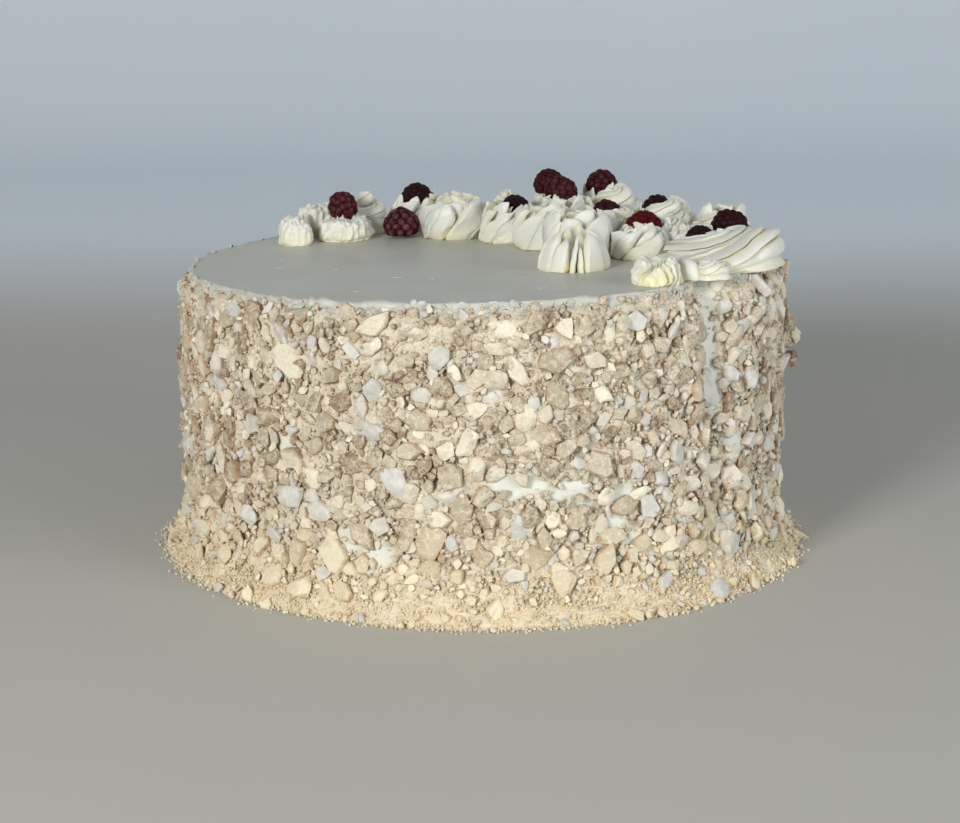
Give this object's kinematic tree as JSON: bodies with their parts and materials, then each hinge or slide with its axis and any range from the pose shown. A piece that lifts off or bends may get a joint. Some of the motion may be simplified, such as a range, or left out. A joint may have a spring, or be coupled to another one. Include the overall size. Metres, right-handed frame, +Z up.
{
  "type": "raspberry meringue ice cream cake",
  "caption": "Tall round ice cream cake coated in crushed meringue, with a smooth cream top and a crescent of piped cream and raspberries; a whole dessert to serve.",
  "frame": {"origin": "centre of the cake's round foot, on the plane it rests on", "axes": "+Z up; -Y towards the front, where the flat cream top is bare; +X to the viewer's right, where the largest swirl is"},
  "size_m": [0.2531, 0.253, 0.136],
  "materials": {
    "meringue_coat": "rough coat of crushed beige meringue over white cream; matte_plastic stands in for food",
    "piped_cream": "soft satin whipped cream; matte_plastic stands in for food",
    "raspberry": "dark, slightly frosty berry skin; gloss_plastic stands in for fruit"
  },
  "bodies": {
    "root": {"cake": "meringue_coat", "swirl_01": "piped_cream", "swirl_02": "piped_cream", "swirl_03": "piped_cream", "swirl_04": "piped_cream", "swirl_05": "piped_cream", "swirl_06": "piped_cream", "swirl_07": "piped_cream", "swirl_08": "piped_cream", "swirl_09": "piped_cream", "swirl_10": "piped_cream", "swirl_11": "piped_cream", "swirl_12": "piped_cream", "swirl_13": "piped_cream", "swirl_14": "piped_cream", "swirl_15": "piped_cream", "swirl_16": "piped_cream", "swirl_17": "piped_cream", "swirl_18": "piped_cream", "swirl_19": "piped_cream", "swirl_20": "piped_cream", "swirl_21": "piped_cream", "swirl_22": "piped_cream", "swirl_23": "piped_cream", "swirl_24": "piped_cream", "swirl_25": "piped_cream", "swirl_26": "piped_cream", "swirl_27": "piped_cream", "swirl_28": "piped_cream", "swirl_29": "piped_cream", "raspberry_01": "raspberry", "raspberry_02": "raspberry", "raspberry_03": "raspberry", "raspberry_04": "raspberry", "raspberry_05": "raspberry", "raspberry_06": "raspberry", "raspberry_07": "raspberry", "raspberry_08": "raspberry", "raspberry_09": "raspberry", "raspberry_10": "raspberry", "raspberry_11": "raspberry", "raspberry_12": "raspberry"}
  },
  "joints": []
}
